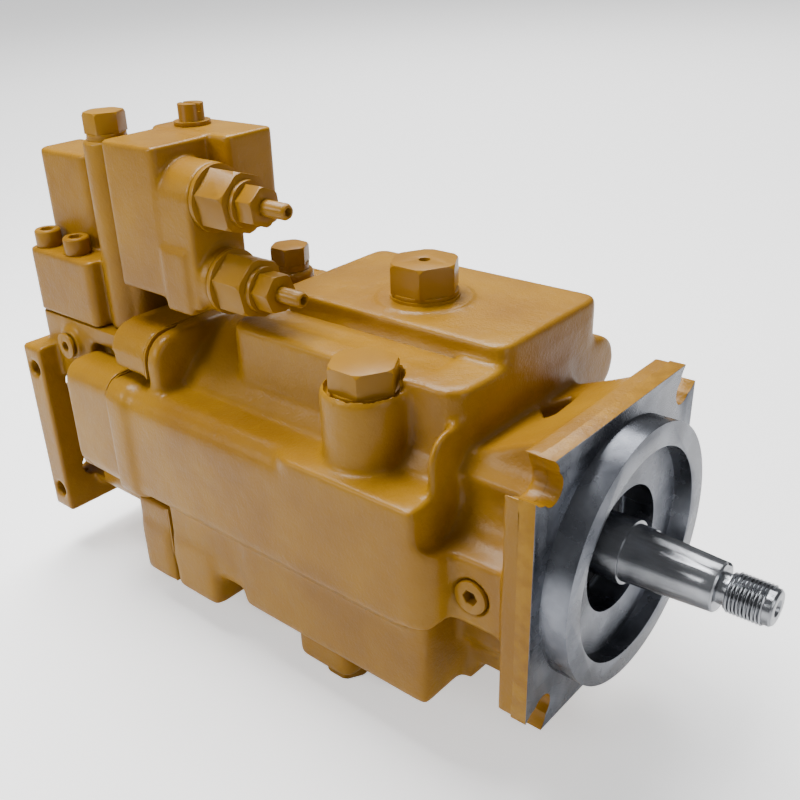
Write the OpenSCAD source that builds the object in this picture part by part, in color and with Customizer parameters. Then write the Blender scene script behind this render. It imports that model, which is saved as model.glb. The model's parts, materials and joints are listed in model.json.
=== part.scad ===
// Axial piston pump, variable displacement, with two stage pressure and flow compensator.
// Axes: +X is the drive shaft, out of the front flange. +Z is up. Origin: pilot centre on the flange face.

/* [Front flange] */
// side of the square front flange
flange_w = 141; // [120:1:180]
// thickness of the front flange
flange_t = 15; // [10:1:25]
// diameter of the pilot spigot
pilot_d = 127; // [101.6:0.1:152.4]
// length of the pilot spigot
pilot_len = 12.7; // [6:0.1:20]
// side of the bolt square
bolt_sq = 114.5; // [90:0.1:162]
// width of the open bolt slots
slot_w = 14.3; // [10:0.1:22]
// diameter of the recess in the pilot face
recess_d = 104; // [90:1:110]
// depth of the recess in the pilot face
recess_deep = 9; // [3:0.5:12]
// diameter of the seal bore
seal_bore_d = 62; // [50:1:70]

/* [Drive shaft] */
// large diameter of the 1 in 8 shaft taper
taper_d = 31.75; // [25:0.05:45]
// axial position of the large end of the taper
taper_x0 = 9; // [5:1:20]
// axial position of the small end of the taper
taper_x1 = 51; // [40:1:70]
// outside diameter of the shaft thread
thread_d = 19.05; // [12:0.05:30]
// axial position of the shaft tip
tip_x = 74.5; // [60:0.5:110]
// key width
key_w = 7.9; // [5:0.1:12]

/* [Housing] */
// axial position of the front wall of the housing
front_x = -52; // [-70:1:-40]
// axial position of the joint between housing and rear cover
joint_x = -243; // [-280:1:-220]
// height of the top deck
deck_z = 90; // [75:1:105]
// depth of the underside
under_z = -75; // [-95:1:-65]
// side wall position of the servo side
servo_y = -84; // [-95:1:-75]
// side wall position of the far side
far_y = 72; // [66:1:90]
// height of the servo housing ridge
ridge_z = 39; // [30:1:50]
// end of the servo housing where its cover bolts on
servo_x = -270; // [-290:1:-250]

/* [Rear] */
// rear end of the port block
block_x = -352; // [-370:1:-320]
// thickness of the rear port flange
plate_t = 18; // [12:1:25]
// half width of the rear port flange
plate_y = 76; // [60:1:90]
// top of the rear port flange
plate_z1 = 37; // [20:1:60]
// bottom of the rear port flange
plate_z0 = -81; // [-100:1:-60]

/* [Rotating group] */
// number of pistons
piston_n = 9; // [7:1:11]
// radius of the piston circle
pitch_r = 37; // [30:0.5:45]
// diameter of a piston
piston_d = 20; // [15:0.5:24]
// radius of the cylinder barrel
barrel_r = 51; // [45:0.5:56]
// position of the slipper running face
swash_x = -118; // [-130:1:-110]
// radius of the swash plate
swash_r = 52; // [48:1:56]
// radial clearance of a running fit
run = 0.03; // [0.01:0.01:0.1]

/* [Control] */
// sideways position of the control piston axis
ctrl_y = -68; // [-72:1:-60]
// height of the control piston axis
ctrl_z = 14; // [0:1:20]
// radius of the control piston
ctrl_r = 10; // [8:0.5:12]

/* [Compensator] */
// sideways position of both spool axes
spool_y = -42; // [-60:1:-30]
// height of the upper spool axis
spool_z1 = 143; // [130:1:150]
// height of the lower spool axis
spool_z2 = 101; // [90:1:110]
// spool radius
spool_r = 5; // [4:0.5:8]

/* [Hidden] */
$fn = 64;
paint = [0.79, 0.56, 0.20];
iron = [0.45, 0.45, 0.46];
steel = [0.62, 0.63, 0.66];
dark = [0.20, 0.20, 0.22];
bronze = [0.70, 0.50, 0.25];
rubber = [0.10, 0.10, 0.10];
e = 0.01;
hw = flange_w / 2;
plate_x = block_x - plate_t;
cav_r = barrel_r + 5;
cover_pts = [[2, 66], [61, 56], [-62, -68], [62, -68]];
head_seat = -261;
servo_cap_x = servo_x - 42;
far_ctrl_y = 72;
seal_face = joint_x - 1;
foot_z = 58;
foot_top = 97;
foot_screws = [[-355, -52], [-325, -52], [-355, -6], [-325, -6]];
column = [-292, -42];
near_plug = [-331, 42];
disch = [-298, 14];
servo_bolts = [[-76, 31], [-58, 31], [-76, -22], [-58, -22]];
deck_x0 = -201;
boss_x = -101;
boss_y = -55;
boss_z = 75;
side_plug_x = -32;
side_plug_z = -4;
far_ctrl_z = -14;
valve_x0 = -274;
valve_x1 = -230;
valve_y = -60;
upper_x = -207;
lower_x = -201;
hex_deck = [-123, 18];
top_fit = [-229, 27];
drain = [-131, -45];

race_mid = 29.5;
race_tilt = 12;
roller_r = 4.4;
race_off = (roller_r + 0.05) / cos(race_tilt);
race_x = -31;
cup_x0 = -40;
cup_x1 = -21;

// rod along X from x0 to x1
module rx(x0, x1, r, y = 0, z = 0, r2 = -1) {
  translate([x0, y, z]) rotate([0, 90, 0]) cylinder(h = x1 - x0, r1 = r, r2 = r2 < 0 ? r : r2);
}

// rod along Z from z0 to z1
module rz(z0, z1, r, x = 0, y = 0, r2 = -1) {
  translate([x, y, z0]) cylinder(h = z1 - z0, r1 = r, r2 = r2 < 0 ? r : r2);
}

// rod along Y from y0 to y1
module ry(y0, y1, r, x = 0, z = 0, r2 = -1) {
  translate([x, y0, z]) rotate([-90, 0, 0]) cylinder(h = y1 - y0, r1 = r, r2 = r2 < 0 ? r : r2);
}

// block between two corners
module bk(x0, x1, y0, y1, z0, z1) {
  translate([x0, y0, z0]) cube([x1 - x0, y1 - y0, z1 - z0]);
}

// flat shape in the YZ plane pushed from x0 to x1
module px(x0, x1) {
  translate([x0, 0, 0]) rotate([90, 0, 90]) linear_extrude(height = x1 - x0) children();
}

// flat shape in the XY plane pushed from z0 to z1
module pz(z0, z1) {
  translate([0, 0, z0]) linear_extrude(height = z1 - z0) children();
}

// rectangle with round corners
module rr(x0, x1, y0, y1, r) {
  translate([x0 + r, y0]) square([x1 - x0 - 2 * r, y1 - y0]);
  translate([x0, y0 + r]) square([x1 - x0, y1 - y0 - 2 * r]);
  for (x = [x0 + r, x1 - r]) for (y = [y0 + r, y1 - r]) translate([x, y]) circle(r = r);
}

// hexagon bar along +Z with a chamfered crown
module hexbar(af, h, cham = 0.93) {
  intersection() {
    cylinder(h = h, r = af / sqrt(3), $fn = 6);
    union() {
      cylinder(h = h * 0.86, r = af / sqrt(3) + 1);
      translate([0, 0, h * 0.86]) cylinder(h = h * 0.14, r1 = af / sqrt(3), r2 = af / sqrt(3) * cham);
    }
  }
}

// hexagon bar along +X
module hexx(x, af, h, y, z, turn = 0) {
  translate([x, y, z]) rotate([0, 90, 0]) rotate([0, 0, turn]) hexbar(af, h);
}

// socket head screw along +Z, seat at zero
module cap_screw(d, len) {
  head = d * 1.0;
  translate([0, 0, -len]) cylinder(h = len + e, r = d / 2);
  difference() {
    union() {
      cylinder(h = head * 0.9, r = d * 0.78);
      translate([0, 0, head * 0.9]) cylinder(h = head * 0.1, r1 = d * 0.78, r2 = d * 0.7);
    }
    translate([0, 0, head * 0.45]) cylinder(h = head, r = d * 0.46, $fn = 6);
  }
}

// hexagon plug along +Z, seat at zero, thread below
module hex_plug(af, head, d, len) {
  translate([0, 0, -len]) cylinder(h = len + e, r = d / 2);
  cylinder(h = 2, r = af * 0.54);
  translate([0, 0, 2 - e]) hexbar(af, head - 2);
}

// coil spring along X, half turns tilted against each other and joined by balls
module coil(r, wire, x0, x1, turns) {
  step = (x1 - x0 - 2 * wire) / turns / 2;
  tilt = asin(step / 2 / r);
  translate([x0 + wire, 0, 0]) rotate([0, 90, 0]) for (i = [0:turns * 2 - 1]) {
    translate([0, 0, (i + 0.5) * step]) rotate([0, i % 2 == 0 ? tilt : -tilt, 0]) rotate([0, 0, i % 2 * 180])
      rotate_extrude(angle = 180) translate([r, 0]) circle(r = wire);
    translate([(i % 2 == 0 ? 1 : -1) * r * cos(tilt), 0, i * step]) sphere(r = wire * 1.03);
  }
}

// ---------- castings ----------

// open slot shape at one flange corner
module corner_slot() {
  b = bolt_sq / 2;
  rotate([0, 0, 45]) translate([b * sqrt(2), 0]) {
    circle(r = slot_w / 2);
    translate([0, -slot_w / 2]) square([40, slot_w]);
    translate([7.5, 0]) circle(r = 9.3);
    translate([7.5, -9.3]) square([40, 18.6]);
  }
}

module neck_pocket(y, z) {
  rx(front_x, -flange_t, 20, y, z);
  bk(front_x, -flange_t, min(y, y * 1.6), max(y, y * 1.6), min(z, z * 1.6), max(z, z * 1.6));
}

// outline of the joint between housing and rear cover
module joint_outline() {
  rr(-74, 76, -82, 70, 16);
  translate(cover_pts[0]) circle(r = 14);
}

module servo_section(grow = 0, inner = -51) {
  rr(servo_y - grow, inner, -32 - grow, ridge_z + grow, 13);
}

module main_housing() {
  color(paint) difference() {
    union() {
      // front flange and pilot
      px(-flange_t, 0) rr(-hw, hw, -hw, hw, 3);
      rx(-e, pilot_len, pilot_d / 2);
      // neck
      px(front_x - 5, -flange_t + e) rr(-68, 68, -67, 67, 14);
      rx(front_x - 5, -flange_t + e, 57);
      // barrel part and front part
      rx(joint_x, front_x - 10, 70);
      pz(under_z, ridge_z) rr(-186, front_x + 6, servo_y + 8, far_y, 12);
      px(-238, -172) rr(-74, 70, -73, 20, 12);
      // upper housing
      pz(20, deck_z - 9) rr(deck_x0, front_x, -50, far_y, 12);
      pz(60, deck_z) rr(deck_x0 + 4, front_x - 0.8, -15, far_y - 0.8, 8);
      rz(deck_z - 8, deck_z + 1.5, 25, hex_deck[0], hex_deck[1]);
      // plug boss on the servo side
      rz(0, boss_z, 21, boss_x, boss_y);
      // servo housing
      px(servo_x, -60) servo_section();
      px(joint_x, -60) servo_section(0, -36);
      pz(-24, ridge_z) rr(-140, front_x + 9, servo_y, 0, 13);
      px(servo_x, servo_x + 16) servo_section(2);
      // rounded end of the far side wall, seen past the flange
      rx(-110, front_x, 16, far_y + 1, 50);
      // drain boss below
      pz(-100, under_z + 10) rr(-152, -112, -66, -24, 8);
      rz(-100, under_z + 10, 14, drain[0], drain[1]);
      // far side bias housing
      px(-226, -82) rr(20, 90, -36, 12, 12);
      // rear joint flange pads
      for (p = cover_pts) rx(joint_x, joint_x + 32, 14, p[0], p[1]);
      px(joint_x, joint_x + 10) joint_outline();
      pz(-90, -55) rr(joint_x, -205, -76, -44, 5);
      // top rear plug boss
      rz(40, 84, 13.5, top_fit[0], top_fit[1]);
    }
    // flange corner slots and spanner pockets behind them
    for (a = [0:90:270]) rotate([a, 0, 0]) px(-flange_t - e, e) corner_slot();
    for (y = [-62, 62]) for (z = [-62, 62]) neck_pocket(y, z);
    for (y = [-68, 68]) for (z = [34, -40]) rx(front_x, -flange_t, 19, y, z);
    // cored window in the top of the neck
    pz(45, 72) polygon([[-49, 12], [-36, 24], [-33, -9]]);
    // top of the neck falls away towards the housing
    translate([0, 50, 0]) rotate([90, 0, 0]) linear_extrude(height = 100)
      polygon([[-flange_t - 2, 80], [-flange_t - 2, 67], [front_x + 1, 52], [front_x + 1, 80]]);
    // face recess, seal bore, bearing bores
    rx(pilot_len - recess_deep, pilot_len + e, recess_d / 2);
    rx(-14, pilot_len, seal_bore_d / 2);
    rx(-16.5, -13, seal_bore_d / 2 + 1.5);
    rx(-22, -13, 30);
    rx(-73, -21, 40);
    // barrel chamber
    rx(joint_x - e, -71, cav_r);
    // deck hollow and boss passage
    bk(-188, -76, -34, 60, 48, 80);
    bk(-188, -76, -30, 50, 30, 60);
    // swing room for the swash plate arms
    bk(-146, -80, -78, -30, -4, 30);
    bk(-146, -80, 30, 83, -28, 0);
    // control piston bore and bias bore
    rx(servo_x - e, -140, ctrl_r + run, ctrl_y, ctrl_z);
    rx(-215, -140, ctrl_r + run, far_ctrl_y, far_ctrl_z);
    rx(-227, -214, 12, far_ctrl_y, far_ctrl_z);
    rx(joint_x - 1, -226, 13, far_ctrl_y, far_ctrl_z);
    // threaded plug holes
    rz(70, deck_z + 5, 13.5, hex_deck[0], hex_deck[1]);
    rz(boss_z - 4, deck_z + 5, 18.6, boss_x, boss_y);
    rz(40, boss_z + 1, 12, boss_x, boss_y);
    ry(-80, -54, 7, side_plug_x, side_plug_z);
    ry(-80, -65.5, 9.5, side_plug_x, side_plug_z);
    ry(-60, -34, 3, side_plug_x, side_plug_z);
    rz(-101, -70, 9, drain[0], drain[1]);
    rz(-75, -40, 5, drain[0], drain[1]);
    rz(60, 85, 8, top_fit[0], top_fit[1]);
    // bolt holes towards the covers
    for (p = cover_pts) rx(joint_x - e, joint_x + 26, 6, p[0], p[1]);
    for (p = servo_bolts) rx(servo_x - 1, servo_x + 14, 4.1, p[0], p[1]);
  }
  // cradle saddles
  color(paint) for (s = [-1, 1]) difference() {
    intersection() {
      bk(-95, -70, -32, 32, s > 0 ? 28 : -54, s > 0 ? 54 : -28);
      rx(-96, -69, cav_r + 3);
    }
    rz(-60, 60, 46.5, swash_x, 0);
  }
}

// kidney shaped slot, mid radius, half width, from angle to angle
module port_slot(r, h, a0, a1) {
  am = (a0 + a1) / 2;
  intersection() {
    difference() { circle(r = r + h); circle(r = r - h); }
    polygon([[0, 0], [90 * cos(a0), 90 * sin(a0)], [150 * cos(am), 150 * sin(am)], [90 * cos(a1), 90 * sin(a1)]]);
  }
  for (a = [a0, a1]) translate([r * cos(a), r * sin(a)]) circle(r = h);
}

module kidneys() {
  port_slot(34, 5.5, 35, 145);
  port_slot(34, 5.5, 215, 325);
}

module rear_cover() {
  color(paint) difference() {
    union() {
      px(joint_x - 30, seal_face) joint_outline();
      pz(-90, -55) rr(joint_x - 30, seal_face, -76, -44, 5);
      px(block_x, joint_x - 20) rr(-54, 70, -72, 52, 14);
      // rear port flange
      px(plate_x, block_x + e) rr(-plate_y, plate_y, plate_z0, plate_z1, 3);
      rx(block_x - e, block_x + 22, 52, 0, -22);
      // pedestal for the valve
      pz(16, foot_z - 1) rr(-364, -262, -62, 8, 6);
      ry(-67, -50, 10, near_plug[0], near_plug[1]);
      // discharge port boss on the far side
      ry(60, 88, 38, disch[0], disch[1]);
    }
    for (p = cover_pts) {
      rx(head_seat - 1, joint_x, 6.2, p[0], p[1]);
      rx(head_seat - (p == cover_pts[0] ? 14 : 42), head_seat, 10.5, p[0], p[1]);
    }
    // room for the servo housing that reaches past the joint
    bk(servo_x - 45, joint_x + 1, servo_y - 10, -50.5, -38, 46);
    // suction passage from the rear and delivery passage to the far side
    rx(plate_x - 1, -285, 31, 0, -22);
    rx(-300, joint_x - 8, 13, 0, -36);
    px(-256, joint_x) kidneys();
    ry(34, 90, 12.7, disch[0], disch[1]);
    bk(-305, joint_x - 8, 27, 40, 8, 22);
    // suction flange threads
    for (y = [-53.2, 53.2]) for (z = [-30.95, 30.95]) rx(plate_x - 1, block_x + 12, 8, y, -22 + z);
    // delivery flange threads
    for (x = [-13.1, 13.1]) for (z = [-26.2, 26.2]) ry(66, 89, 5, disch[0] + x, disch[1] + z);
    // side threads of the rear flange
    for (z = [22, -66]) ry(-plate_y - 1, -plate_y + 24, 5.1, plate_x + plate_t / 2, z);
    // rear bearing pocket and port plate pin
    rx(-272, joint_x, 22);
    rx(-280, -260, 17);
    rx(seal_face - 6, joint_x + 1, 2.5, 0, 47);
    // control drillings and plug holes
    rz(30, 90, 4, column[0], column[1]);
    rz(40, 90, 4, column[0], -20);
    ry(-70, -58.6, 6, near_plug[0], near_plug[1]);
    // valve screws
    for (p = foot_screws) rz(34, 62, 5.1, p[0], p[1]);
  }
}

// ---------- joint parts of the housing ----------

module cover_gasket() {
  color(dark) px(seal_face, joint_x) difference() {
    joint_outline();
    circle(r = 60);
    for (p = cover_pts) translate(p) circle(r = 6.5);
    translate([-110, -38]) square([59.5, 84]);
  }
}

module cover_bolts() {
  color(paint) for (p = cover_pts) translate([head_seat, p[0], p[1]]) rotate([0, -90, 0]) cap_screw(12, 42);
}

module servo_cover() {
  color(paint) difference() {
    px(servo_cap_x, servo_x - 1) rr(servo_y, -51, -30, 42, 12);
    rx(servo_x - 12, servo_x, 8, ctrl_y, ctrl_z);
    for (p = servo_bolts) {
      rx(servo_cap_x - 1, servo_x, 4.2, p[0], p[1]);
      rx(servo_cap_x - 1, servo_cap_x + 8, 6.6, p[0], p[1]);
    }
  }
}

module servo_gasket() {
  color(dark) px(servo_x - 1, servo_x) difference() {
    rr(servo_y, -51, -30, 41, 12);
    translate([ctrl_y, ctrl_z]) circle(r = 10.5);
    for (p = servo_bolts) translate(p) circle(r = 4.3);
  }
}

module servo_cover_bolts() {
  color(paint) for (p = servo_bolts) translate([servo_cap_x + 8, p[0], p[1]]) rotate([0, -90, 0]) cap_screw(8, 44);
}

module bias_cap() {
  color(paint) difference() {
    rx(-226, -216, 12, far_ctrl_y, far_ctrl_z);
    translate([-227, far_ctrl_y, far_ctrl_z]) rotate([0, 90, 0]) cylinder(h = 6, r = 6, $fn = 6);
  }
}

module deck_plug() {
  color(paint) translate([hex_deck[0], hex_deck[1], deck_z + 3]) difference() {
    hex_plug(32, 17, 27, 14);
    translate([0, 0, 9]) cylinder(h = 12, r = 3);
  }
}

module boss_plug() {
  color(paint) translate([boss_x, boss_y, boss_z - 2.5]) hex_plug(30, 14, 24, 20);
}

module socket_plug(r, len, head_r, head) {
  // plug along +Z with a hexagon socket, head end up
  difference() {
    union() {
      translate([0, 0, -len]) cylinder(h = len + e, r = r);
      cylinder(h = head, r = head_r);
    }
    translate([0, 0, head - 5]) cylinder(h = 6, r = r * 0.55, $fn = 6);
  }
}

module neck_plug() {
  color(paint) translate([side_plug_x, -65.5, side_plug_z]) rotate([90, 0, 0]) socket_plug(7, 10, 8.2, 3.5);
}

module top_rear_plug() {
  color(paint) translate([top_fit[0], top_fit[1], 85.5]) hex_plug(20, 12, 16, 14);
}

module drain_plug() {
  color(paint) translate([drain[0], drain[1], -101.5]) rotate([180, 0, 0]) hex_plug(22, 11, 18, 18);
}

module foot_plug() {
  color(paint) translate([near_plug[0], -67, near_plug[1]]) rotate([90, 0, 0]) socket_plug(6, 8, 8, 2);
}

module washer(x, y, z, r0, r1, t = 1.5) {
  translate([x, y, z]) difference() {
    cylinder(h = t, r = r1);
    translate([0, 0, -1]) cylinder(h = t + 2, r = r0);
  }
}

module plug_seals() {
  color(dark) {
    washer(hex_deck[0], hex_deck[1], deck_z + 1.5, 13.5, 18);
    washer(boss_x, boss_y, boss_z - 4, 12, 16.5);
    washer(top_fit[0], top_fit[1], 84, 8, 10.5);
    washer(drain[0], drain[1], -101.5, 9, 12);
    washer(column[0], column[1], 164, 8, 11);
  }
}

// ---------- shaft line ----------

module shaft_seal() {
  color(rubber) difference() {
    union() {
      rx(-21, -14.6, 30);
      rx(-14.6 - e, -13, 28.5);
    }
    rx(-22, -12, 17.5);
    rx(-22, -16, 25.5);
  }
}

module seal_ring() {
  // open retaining ring in the groove in front of the seal
  color(steel) px(-16.5 + 2, -13) difference() {
    circle(r = seal_bore_d / 2 + 1.3);
    circle(r = seal_bore_d / 2 - 2.2);
    translate([-4, -40]) square([8, 20]);
  }
}

function race(x, s) = race_mid + s * race_off - (x - race_x) * tan(race_tilt);

module front_bearing_cup() {
  color(steel) difference() {
    rx(cup_x0, cup_x1, 40);
    rx(cup_x0 - 1, cup_x1 + 1, race(cup_x0 - 1, 1), 0, 0, race(cup_x1 + 1, 1));
  }
}

module front_bearing_cone() {
  color(steel) difference() {
    union() {
      rx(-42, -21.5, race(-42, -1), 0, 0, race(-21.5, -1));
      rx(-44, -41, race(-40, 0));
    }
    rx(-45, -20, 20);
  }
}

module front_rollers() {
  color(steel) for (i = [0:16]) rotate([i * 360 / 17, 0, 0]) translate([race_x, 0, race_mid])
    rotate([0, 90 + race_tilt, 0]) translate([0, 0, -7]) cylinder(h = 14.5, r = roller_r);
}

module rear_bearing_cup() {
  color(steel) difference() {
    rx(-271, -255, 22);
    rx(-272, -254, 18.5);
  }
}

module rear_rollers() {
  color(steel) for (i = [0:13]) rotate([i * 360 / 14, 0, 0]) rx(-270, -256, 2.9, 0, 15.5);
}

module spline(grow) {
  circle(r = 15 + grow);
  for (i = [0:7]) rotate([0, 0, i * 45]) translate([0, -2.6 - grow]) square([17.5 + grow, 5.2 + 2 * grow]);
}

module drive_shaft() {
  color(steel) difference() {
    union() {
      rx(54.5, tip_x - 1, thread_d / 2);
      rx(tip_x - 1 - e, tip_x, thread_d / 2, 0, 0, thread_d / 2 - 1);
      rx(taper_x1 - e, 55, 8.2);
      rx(taper_x0, taper_x1 - 0.8, taper_d / 2, 0, 0, taper_d / 2 - (taper_x1 - taper_x0) / 16);
      rx(taper_x1 - 0.8 - e, taper_x1, taper_d / 2 - 2.7, 0, 0, taper_d / 2 - 3.4);
      rx(-22, taper_x0 + e, 17.45);
      rx(-46, -22 + e, 20);
      rx(-52, -46 + e, 24.5);
      rx(-208.5, -52 + e, 19);
      px(-238, -208.5 + e) spline(0);
      rx(-278, -238 + e, 12.5);
    }
    // keyway in the taper, open at the small end
    rotate([-35, 0, 0]) bk(17, taper_x1 + 1, -key_w / 2, key_w / 2, 11.2, 20);
    // thread undercut chamfers and centre hole
    rx(tip_x - 9, tip_x + 1, 2.5);
    rx(tip_x - 2.5, tip_x + e, 2.5, 0, 0, 4.5);
  }
}

module cylinder_barrel() {
  color(iron) difference() {
    rx(-239.95, -163, barrel_r);
    for (i = [0:piston_n - 1]) rotate([i * 360 / piston_n, 0, 0]) {
      rx(-230, -162, piston_d / 2 + run, 0, pitch_r);
      rx(-241, -229, 5.4, 0, 34);
    }
    px(-241, -207) spline(0.1);
    rx(-209, -162, 26);
  }
}

module barrel_spring() {
  color(steel) coil(22.9, 1.9, -207, -173, 5);
}

module spring_seats() {
  color(steel) for (x = [-209, -173]) difference() {
    rx(x, x + 2, 25.9);
    rx(x - 1, x + 3, 19.1);
  }
}

module ball_guide() {
  color(iron) difference() {
    union() {
      rx(-171, -129, 23);
      intersection() {
        translate([swash_x, 0, 0]) sphere(r = 24);
        rx(-140, -124, 30);
      }
    }
    rx(-172, -120, 19.1);
  }
}

module ring_of() {
  for (i = [0:piston_n - 1]) rotate([i * 360 / piston_n, 0, 0]) translate([0, 0, pitch_r]) children();
}

module retainer_plate() {
  color(steel) difference() {
    rx(-125.6, -122.1, 49.5);
    rx(-127, -121, 24.5);
    ring_of() rx(-127, -121, 10.6);
  }
}

module pistons() {
  color(steel) ring_of() difference() {
    union() {
      rx(-210, -137, piston_d / 2);
      rx(-137 - e, -131, piston_d / 2 - 0.2, 0, 0, 4.5);
      rx(-132, -127.5, 4.5);
      translate([-127.5, 0, 0]) sphere(r = 7);
    }
    rx(-211, -160, 6);
    rx(-161, -119, 1.2);
  }
}

module slippers() {
  color(bronze) ring_of() difference() {
    union() {
      rx(-122, -118.05, 12.5);
      rx(-131, -122 + e, 9.9);
    }
    translate([-127.5, 0, 0]) sphere(r = 7.03);
    rx(-120, -117, 8);
    rx(-124, -117, 1.2);
  }
}

module port_plate() {
  color(bronze) px(seal_face, -240) difference() {
    circle(r = 50.4);
    circle(r = 21);
    kidneys();
    translate([0, 47]) circle(r = 2.5);
  }
}

module port_plate_pin() { color(steel) rx(seal_face - 5, -241, 2.5, 0, 47); }

// ---------- swash plate and stroke control ----------

module wear_plate() {
  color(bronze) difference() {
    rx(swash_x, swash_x + 4, swash_r);
    rx(swash_x - 1, swash_x + 5, 27);
  }
}

module swash_plate() {
  color(iron) difference() {
    union() {
      rx(swash_x + 4, swash_x + 14, swash_r);
      intersection() {
        for (s = [-1, 1]) rz(s > 0 ? 29 : -53, s > 0 ? 53 : -29, 44, swash_x, 0);
        rx(swash_x + 13, swash_x + 46, swash_r - 4);
        bk(swash_x + 13, swash_x + 46, -34, 34, -60, 60);
      }
      // arm to the control piston and arm to the bias piston
      bk(swash_x + 4, swash_x + 14, ctrl_y - 5, -30, ctrl_z - 8, ctrl_z + 8);
      bk(swash_x + 4, swash_x + 14, 30, far_ctrl_y + 5, far_ctrl_z - 8, far_ctrl_z + 8);
      rz(ctrl_z - 8, ctrl_z + 8, 4, swash_x, ctrl_y);
      bk(swash_x, swash_x + 5, ctrl_y - 4, ctrl_y + 4, ctrl_z - 8, ctrl_z + 8);
      rz(far_ctrl_z - 8, far_ctrl_z + 8, 4, swash_x, far_ctrl_y);
      bk(swash_x, swash_x + 5, far_ctrl_y - 4, far_ctrl_y + 4, far_ctrl_z - 8, far_ctrl_z + 8);
    }
    for (a = [0, 8, 16]) translate([swash_x, 0, 0]) rotate([0, 0, a]) translate([-swash_x, 0, 0]) rx(swash_x - 5, -70, 22);
  }
}

module cradle_bearings() {
  color(bronze) for (s = [-1, 1]) intersection() {
    difference() {
      rz(s > 0 ? 30 : -52, s > 0 ? 52 : -30, 46.5, swash_x, 0);
      rz(-60, 60, 44.05, swash_x, 0);
    }
    bk(swash_x + 20, swash_x + 50, -30, 30, -60, 60);
    rx(swash_x + 20, swash_x + 50, cav_r - 0.1);
  }
}

module control_piston() {
  color(steel) difference() {
    rx(-252, swash_x - 4.1, ctrl_r, ctrl_y, ctrl_z);
    rx(-253, -190, 6, ctrl_y, ctrl_z);
    for (x = [-240, -232, -224]) difference() {
      rx(x, x + 2, ctrl_r + 1, ctrl_y, ctrl_z);
      rx(x - 1, x + 3, ctrl_r - 1, ctrl_y, ctrl_z);
    }
  }
}

module bias_piston() {
  color(steel) difference() {
    rx(-187, swash_x - 4.1, ctrl_r, far_ctrl_y, far_ctrl_z);
    rx(-188, -150, 6, far_ctrl_y, far_ctrl_z);
  }
}

module bias_spring() {
  color(steel) translate([0, far_ctrl_y, far_ctrl_z]) coil(8, 1.3, -213, -187.1, 6);
}

module bias_spring_seat() {
  color(steel) difference() {
    rx(-216, -213, 9.9, far_ctrl_y, far_ctrl_z);
    rx(-217, -212, 3, far_ctrl_y, far_ctrl_z);
  }
}

// ---------- compensator ----------

module valve_body() {
  color(paint) difference() {
    union() {
      pz(foot_z, foot_top) rr(-364, -302, -62, 4, 5);
      pz(foot_z, foot_top) rr(-312, -275, -50, 4, 8);
      pz(foot_top - e, 152) rr(-366, -316, -43, -8, 7);
      rz(foot_z, 164, 13.5, column[0], column[1]);
      pz(90, 168) rr(valve_x0, valve_x1, valve_y, -14, 4);
      pz(86, 156) rr(-320, -262, -38, -10, 6);
      pz(118, 169) rr(-278, -214, -24, 8, 4);
      rx(valve_x1 - e, upper_x, 17.5, spool_y, spool_z1);
      pz(88, spool_z1) rr(valve_x1 - 6, upper_x, spool_y - 17.4, spool_y + 17.4, 1);
      rx(valve_x1 - e, lower_x, 17, spool_y, spool_z2);
      pz(84, 118) rr(valve_x1 - 4, lower_x - 12, spool_y - 19, spool_y + 12, 2);
    }
    valve_bores(upper_x, spool_z1);
    valve_bores(lower_x, spool_z2);
    rz(140, 166, 8, column[0], column[1]);
    rz(foot_z - 1, 142, 4, column[0], column[1]);
    rx(column[0], valve_x0 + 10, 2.5, spool_y, spool_z1);
    rx(column[0], valve_x0 + 10, 2.5, spool_y, spool_z2);
    rz(foot_z - 1, 90, 4, column[0], -20);
    rz(150, 171, 4, -258, -10);
    for (p = foot_screws) rz(foot_z - 1, foot_top + 1, 5.3, p[0], p[1]);
    for (p = foot_screws) rz(foot_top, 153, 9, p[0], p[1]);
  }
}

// bores of one stage that ends at xe
module valve_bores(xe, z) {
  rx(valve_x0 - 1, xe - 15, spool_r + run, spool_y, z);
  rx(valve_x0 - 1, valve_x0 + 7, 7, spool_y, z);
  rx(xe - 18, xe + 1, 7.5, spool_y, z);
  rx(xe - 12, xe + 1, 12, spool_y, z);
}

module spool(xe, z) {
  color(steel) difference() {
    union() {
      rx(valve_x0 + 12, xe - 14, spool_r, spool_y, z);
      rx(xe - 15, xe - 13, 6.8, spool_y, z);
      rx(xe - 14, xe - 10, 3, spool_y, z);
    }
    for (x = [valve_x0 + 20, valve_x0 + 34]) difference() {
      rx(x, x + 7, spool_r + 1, spool_y, z);
      rx(x - 1, x + 8, 3.2, spool_y, z);
    }
  }
}

module stage_cap(xe, z) {
  color(paint) difference() {
    union() {
      rx(xe - 12, xe + e, 12, spool_y, z);
      rx(xe, xe + 2.5, 17, spool_y, z);
      hexx(xe + 2, 28, 20, spool_y, z, 12);
      rx(xe + 21.9, xe + 25, 11.5, spool_y, z);
    }
    rx(xe - 13, xe + 17, 7.5, spool_y, z);
    rx(xe + 16, xe + 26, 4.05, spool_y, z);
  }
}

module stage_seat(xe, z) {
  color(steel) {
    rx(xe + 8, xe + 11, 7.2, spool_y, z);
    rx(xe + 4, xe + 8 + e, 3, spool_y, z);
  }
}

module stage_spring(xe, z) {
  color(steel) translate([0, spool_y, z]) coil(5, 1.1, xe - 13, xe + 8, 7);
}

module stage_screw(xe, z) {
  color(paint) difference() {
    union() {
      rx(xe + 11.05, xe + 50, 4, spool_y, z);
      rx(xe + 50 - e, xe + 51.5, 4, spool_y, z, 3.2);
    }
    translate([xe + 46, spool_y, z]) rotate([0, 90, 0]) cylinder(h = 8, r = 2.3, $fn = 6);
  }
}

module nut(xe, z, turn) {
  difference() {
    hexx(xe + 25, 18, 11, spool_y, z, turn);
    rx(xe + 24, xe + 37, 4.05, spool_y, z);
  }
}

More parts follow.
